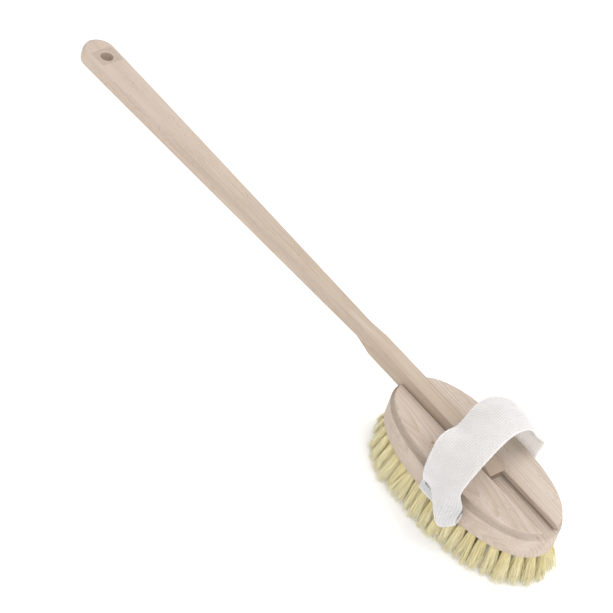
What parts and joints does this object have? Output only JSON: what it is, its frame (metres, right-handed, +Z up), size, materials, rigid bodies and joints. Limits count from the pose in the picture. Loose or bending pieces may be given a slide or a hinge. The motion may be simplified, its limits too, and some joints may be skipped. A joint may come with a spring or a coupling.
{
  "type": "body dry brush",
  "caption": "Oval beech body brush with natural bristle tufts, a woven hand strap and a long handle that slides off along a slot in its back.",
  "frame": {"origin": "under the middle of the whole brush, level with the trimmed bristle tips it stands on", "axes": "+X runs along the handle towards the head's free end, +Y across the head, +Z up from the bristles to the strap"},
  "size_m": [0.452, 0.0802, 0.081],
  "materials": {
    "beech_head": "fine-sanded raw beech, matt",
    "beech_handle": "fine-sanded raw beech, matt",
    "cotton_webbing": "bleached plain-woven cotton webbing",
    "bristle": "stiff natural fibre, cut level",
    "staple_steel": "bright drawn wire"
  },
  "bodies": {
    "head": {"head_block": "beech_head", "hand_strap": "cotton_webbing", "strap_staple_near_1": "staple_steel", "strap_staple_near_2": "staple_steel", "strap_staple_far_1": "staple_steel", "strap_staple_far_2": "staple_steel", "tuft_outer_01": "bristle", "tuft_outer_02": "bristle", "tuft_outer_03": "bristle", "tuft_outer_04": "bristle", "tuft_outer_05": "bristle", "tuft_outer_06": "bristle", "tuft_outer_07": "bristle", "tuft_outer_08": "bristle", "tuft_outer_09": "bristle", "tuft_outer_10": "bristle", "tuft_outer_11": "bristle", "tuft_outer_12": "bristle", "tuft_outer_13": "bristle", "tuft_outer_14": "bristle", "tuft_outer_15": "bristle", "tuft_outer_16": "bristle", "tuft_outer_17": "bristle", "tuft_outer_18": "bristle", "tuft_outer_19": "bristle", "tuft_outer_20": "bristle", "tuft_outer_21": "bristle", "tuft_outer_22": "bristle", "tuft_outer_23": "bristle", "tuft_outer_24": "bristle", "tuft_outer_25": "bristle", "tuft_outer_26": "bristle", "tuft_outer_27": "bristle", "tuft_outer_28": "bristle", "tuft_outer_29": "bristle", "tuft_outer_30": "bristle", "tuft_outer_31": "bristle", "tuft_outer_32": "bristle", "tuft_outer_33": "bristle", "tuft_outer_34": "bristle", "tuft_outer_35": "bristle", "tuft_outer_36": "bristle", "tuft_outer_37": "bristle", "tuft_outer_38": "bristle", "tuft_outer_39": "bristle", "tuft_outer_40": "bristle", "tufts_inner_field": "bristle"},
    "handle": {"handle": "beech_handle"}
  },
  "joints": [
    {"name": "handle_slide", "type": "slide", "parent": "head", "child": "handle", "axis": [-1, 0, 0], "range_m": [0, 0.095]}
  ]
}
